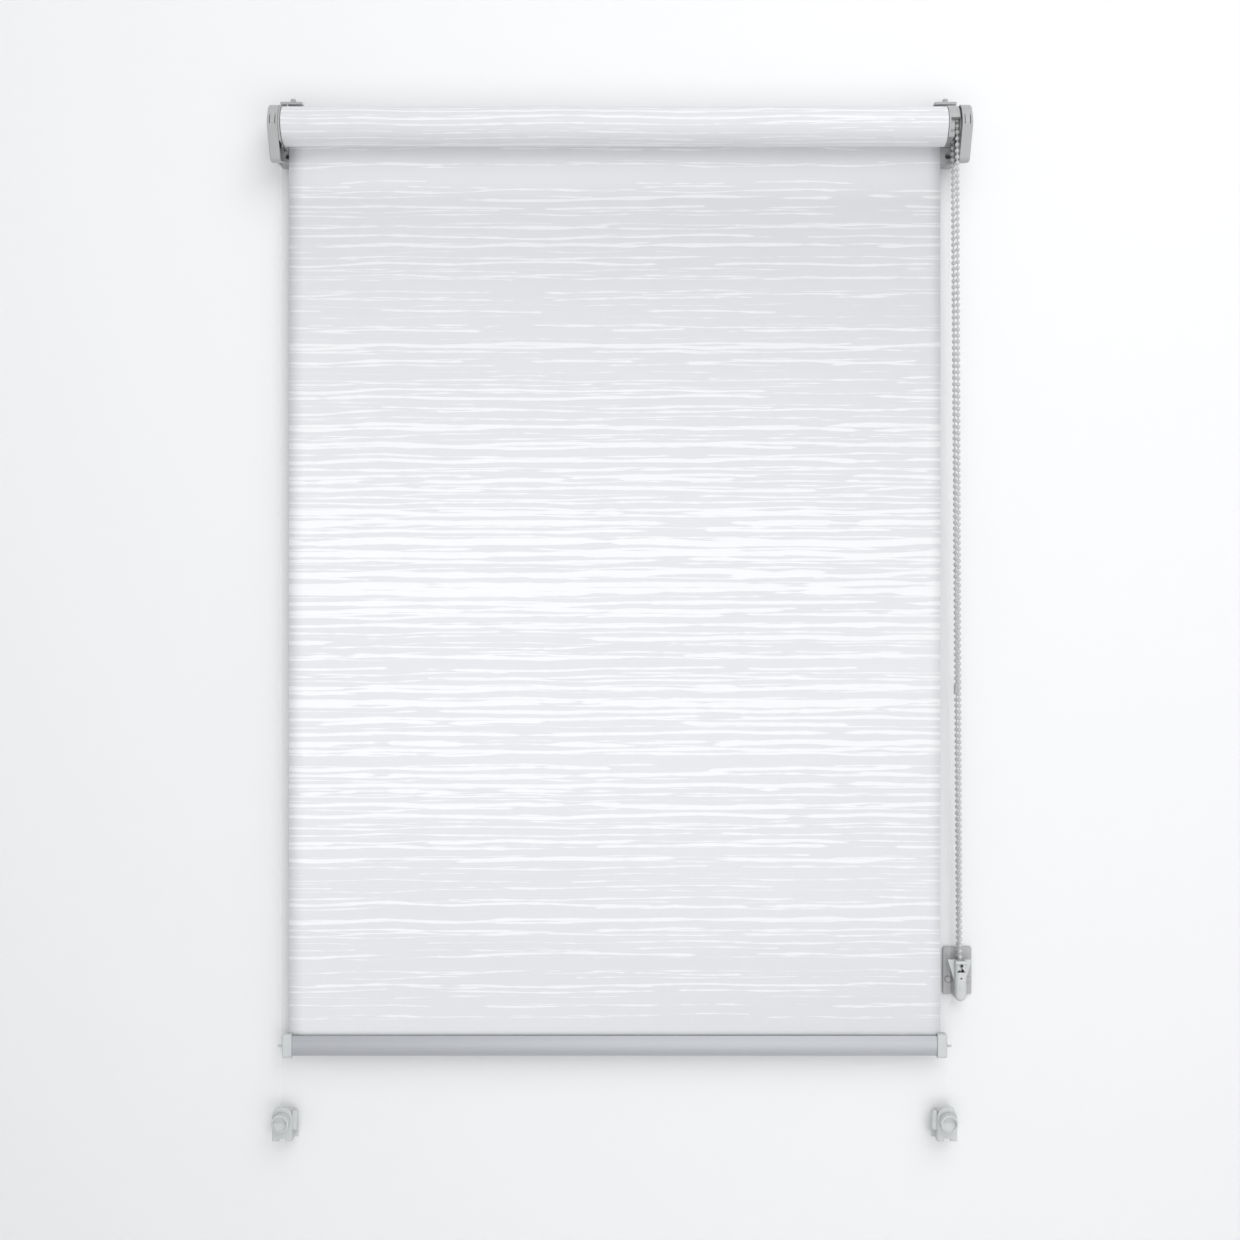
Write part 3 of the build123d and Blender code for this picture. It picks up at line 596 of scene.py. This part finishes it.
def hanging_sheet():
    """The sheet from the roll's back to the bar, with the slow, shallow curl that real fabric keeps."""
    bm = bmesh.new()
    grid = []
    top, foot = sheet_high.z, sheet_low.z
    for row in range(SHEET_GRID_ROWS + 1):
        down = row / SHEET_GRID_ROWS
        z = top + (foot - top) * down
        free = math.sin(math.pi * min(1.0, down * 1.02)) ** 0.7 if 0 < down < 0.98 else 0.0
        line = []
        for column in range(SHEET_COLUMNS + 1):
            across = column / SHEET_COLUMNS
            x = sheet_low.x + (sheet_high.x - sheet_low.x) * across
            edge = (2 * across - 1) ** 4
            ripple = RIPPLE * math.sin(2 * math.pi * (1.5 * across + 0.7 * down + 0.2))
            curl = EDGE_CURL * edge
            line.append(bm.verts.new((x, sheet_y + free * (ripple + curl), z)))
        grid.append(line)
    for upper, lower in zip(grid, grid[1:]):
        for k in range(SHEET_COLUMNS):
            bm.faces.new((upper[k], upper[k + 1], lower[k + 1], lower[k]))
    sheet = mesh_object("fabric_screen", bm)
    thick = sheet.modifiers.new("thickness", "SOLIDIFY")
    thick.thickness = sheet_high.y - sheet_low.y
    thick.offset = 0
    with bpy.context.temp_override(object=sheet, active_object=sheet):
        bpy.ops.object.modifier_apply(modifier=thick.name)
    dress(sheet, "roller_fabric")
    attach(sheet, "frame")
    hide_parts("hanging_fabric")
    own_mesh(sheet)


def wound_roll():
    """The rest of the fabric, wound on the tube as a spiral whose layers show at both ends."""
    turns = (roll_r - ROLL_INSET - tube_r - CLOTH) / TURN_STEP
    count = int(turns * ROLL_STEPS)
    bm = bmesh.new()
    rings = []
    for k in range(count + 1):
        angle = math.pi / 2 - 2 * math.pi * (count - k) / ROLL_STEPS
        inner = tube_r + TUBE_GAP + TURN_STEP * k / ROLL_STEPS
        corners = []
        for x, radius in (
            (roll_low.x, inner),
            (roll_high.x, inner),
            (roll_high.x, inner + CLOTH),
            (roll_low.x, inner + CLOTH),
        ):
            corners.append(bm.verts.new((
                x, roll_y + radius * math.sin(angle), radius * math.cos(angle),
            )))
        rings.append(corners)
    for before, after in zip(rings, rings[1:]):
        for k in range(4):
            next_k = (k + 1) % 4
            bm.faces.new((before[k], before[next_k], after[next_k], after[k]))
    bm.faces.new(rings[0])
    bm.faces.new(list(reversed(rings[-1])))
    roll = mesh_object("wound_fabric", bm)
    smooth_by_angle(roll)
    dress(roll, "wound_fabric")
    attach(roll, "roller")
    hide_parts("fabric_roll")


wound_roll()
hanging_sheet()

# ---- Stage: wall, floor and soft light --------------------------------------------------------------

def pale(name, low, high, see_through_back=False):
    """Matt paint, a little cloudy, that runs from one grey 1 m below the roller to another at it; on the
    wall the darker low grey is painted shade.
    """
    shader = Shader(name)
    axes = shader.node("ShaderNodeSeparateXYZ")
    shader.join(shader.places(), axes.inputs[0])
    # cloudiness plus height; on the wall the height gives painted shade low down
    cloud_and_height_shade = shader.value("MULTIPLY_ADD", shader.noise(shader.places(), 0.8, 2.0), 0.1, axes.outputs["Z"])
    tint = shader.ramp(shader.value("ADD", cloud_and_height_shade, 1.0), (0.0, low), (1.0, high))
    shader.finish(tint, 0.9, Specular_IOR_Level=0.1)
    if see_through_back:
        # the wall has no back, so the blind shows from behind it
        geometry = shader.node("ShaderNodeNewGeometry")
        clear = shader.node("ShaderNodeBsdfTransparent")
        either = shader.node("ShaderNodeMixShader")
        output = shader.tree.nodes["Material Output"]
        shader.join(geometry.outputs["Backfacing"], either.inputs[0])
        shader.join(shader.bsdf.outputs[0], either.inputs[1])
        shader.join(clear.outputs[0], either.inputs[2])
        shader.join(either.outputs[0], output.inputs["Surface"])
    return shader.material


def plane(name, corners, material):
    """One flat face of the stage."""
    bm = bmesh.new()
    bm.faces.new([bm.verts.new(c) for c in corners])
    data = bpy.data.meshes.new(name)
    bm.to_mesh(data)
    bm.free()
    piece = bpy.data.objects.new(name, data)
    bpy.context.scene.collection.objects.link(piece)
    data.materials.append(material)
    return piece


WALL_Y = 0.0015
WALL_TOP = 1.6
FLOOR_Z = -1.5
FLOOR_FRONT = -4
HALF_WIDE = 3
# painted shade: the wall's grey is darker low down and lighter near the roller
WALL_SHADED_LOW = (0.86, 0.86, 0.86)
WALL_LIT_HIGH = (0.89, 0.89, 0.89)
FLOOR_GREY = (0.74, 0.74, 0.74)
wall = plane(
    "wall",
    [
        (-HALF_WIDE, WALL_Y, FLOOR_Z),
        (HALF_WIDE, WALL_Y, FLOOR_Z),
        (HALF_WIDE, WALL_Y, WALL_TOP),
        (-HALF_WIDE, WALL_Y, WALL_TOP),
    ],
    pale("wall_paint", WALL_SHADED_LOW, WALL_LIT_HIGH, see_through_back=True),
)
floor = plane(
    "floor",
    [
        (-HALF_WIDE, FLOOR_FRONT, FLOOR_Z),
        (HALF_WIDE, FLOOR_FRONT, FLOOR_Z),
        (HALF_WIDE, HALF_WIDE, FLOOR_Z),
        (-HALF_WIDE, HALF_WIDE, FLOOR_Z),
    ],
    pale("floor_paint", FLOOR_GREY, FLOOR_GREY),
)


def area_light(name, place, aim, size, power):
    """A round soft light of this size and power, turned to its aim."""
    data = bpy.data.lights.new(name, "AREA")
    data.shape = "DISK"
    data.size = size
    data.energy = power
    lamp = bpy.data.objects.new(name, data)
    lamp.location = place
    lamp.rotation_euler = (Vector(aim) - Vector(place)).to_track_quat("-Z", "Y").to_euler()
    bpy.context.scene.collection.objects.link(lamp)


area_light("key", place=(0.7, -2.1, 1.15), aim=(0, 0, -0.4), size=2.5, power=31)
area_light("fill", place=(0.3, -1.8, -1.3), aim=(0, 0, -0.1), size=1.9, power=17)
area_light("back", place=(0.4, 2.2, 1.2), aim=(0, 0, -0.4), size=2.0, power=20)

ROOM_COLOUR = (0.96, 0.97, 1.0, 1)
ROOM_STRENGTH = 0.60
world = bpy.data.worlds.new("world")
bpy.context.scene.world = world
world.use_nodes = True
background = world.node_tree.nodes["Background"]
background.inputs["Color"].default_value = ROOM_COLOUR
background.inputs["Strength"].default_value = ROOM_STRENGTH
bpy.context.scene.view_settings.view_transform = "Standard"
